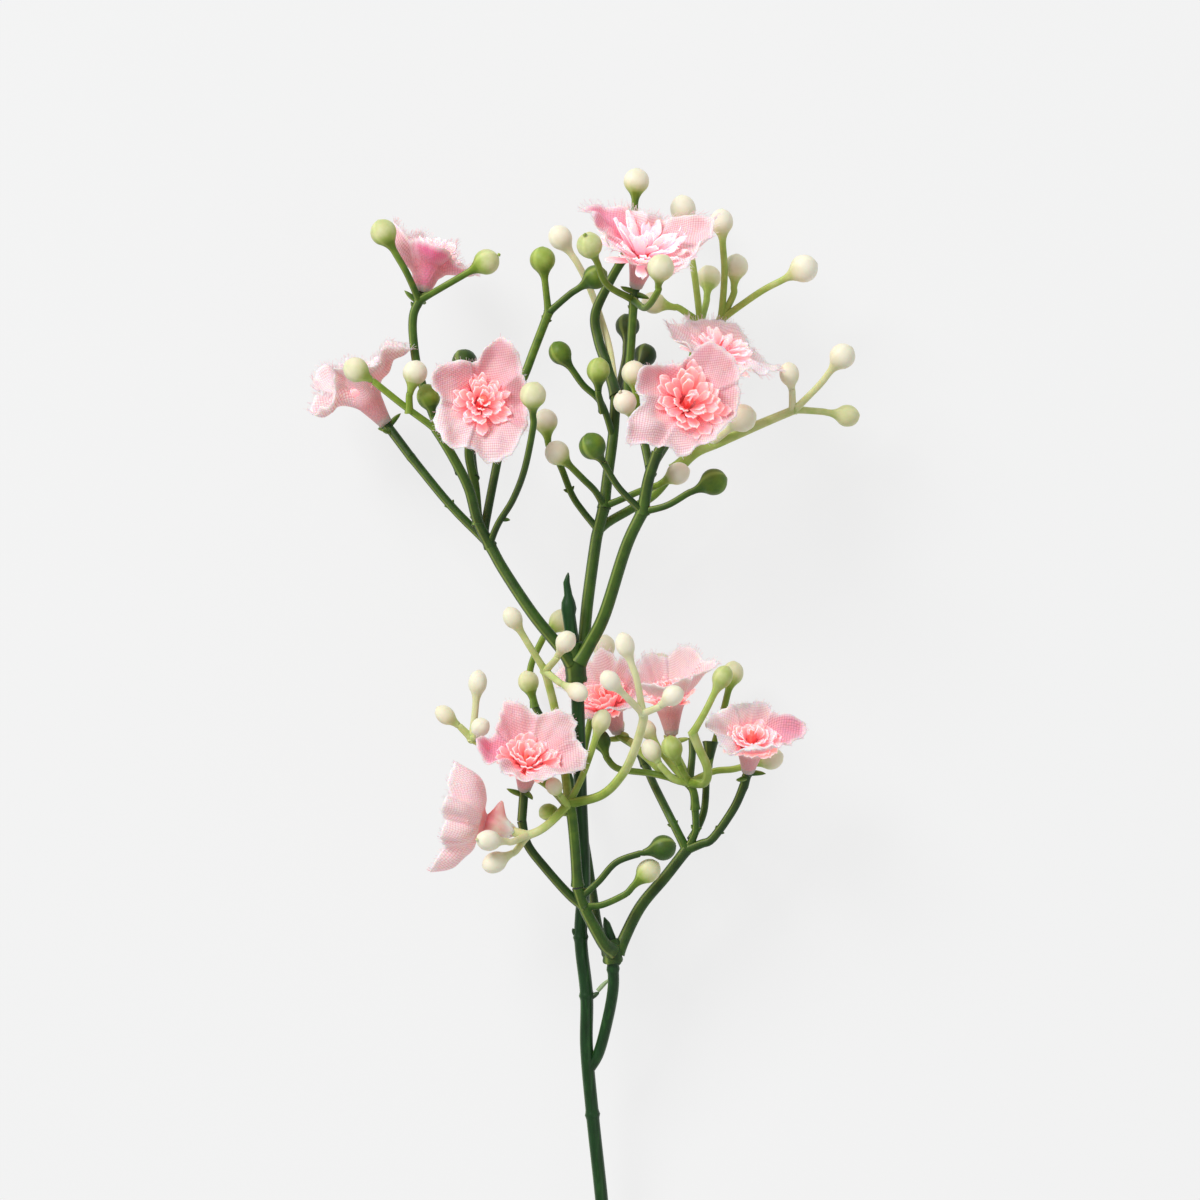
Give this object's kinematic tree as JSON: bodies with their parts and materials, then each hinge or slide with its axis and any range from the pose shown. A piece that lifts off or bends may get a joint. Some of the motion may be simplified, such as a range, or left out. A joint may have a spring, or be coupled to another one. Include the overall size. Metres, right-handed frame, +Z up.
{
  "type": "artificial gypsophila stem",
  "caption": "Artificial gypsophila stem: woven pink blooms and green to ivory buds on branching moulded sprays, on a plastic-coated wire stem that lies on its side.",
  "frame": {"origin": "centre of the whole object's box, on the surface that the stem lies on", "axes": "+Y along the stem from its cut end to its tip, +Z up from the surface, +X to the right seen from above with the tip away from the viewer"},
  "size_m": [0.0938, 0.221, 0.0475],
  "materials": {
    "stem_green": "satin",
    "spray_green": "satin",
    "cluster_lime": "satin",
    "cluster_ivory": "satin",
    "petal_pink": "woven",
    "plug_coral": "satin",
    "wire_steel": "drawn"
  },
  "bodies": {
    "root": {"main_stem": "stem_green", "stem_wire": "wire_steel", "upper_spray": "spray_green", "lower_spray": "spray_green", "lower_front_cluster": "cluster_lime", "lower_right_cluster": "cluster_lime", "upper_edge_cluster": "cluster_ivory", "upper_back_cluster": "cluster_ivory", "bloom_01": "petal_pink", "bloom_02": "petal_pink", "bloom_03": "petal_pink", "bloom_04": "petal_pink", "bloom_05": "petal_pink", "bloom_06": "petal_pink", "bloom_07": "petal_pink", "bloom_08": "petal_pink", "bloom_09": "petal_pink", "bloom_10": "petal_pink", "bloom_11": "petal_pink", "bloom_01_plug": "plug_coral", "bloom_02_plug": "plug_coral", "bloom_03_plug": "plug_coral", "bloom_04_plug": "plug_coral", "bloom_05_plug": "plug_coral", "bloom_06_plug": "plug_coral", "bloom_07_plug": "plug_coral", "bloom_08_plug": "plug_coral", "bloom_09_plug": "plug_coral", "bloom_10_plug": "plug_coral", "bloom_11_plug": "plug_coral"}
  },
  "joints": []
}
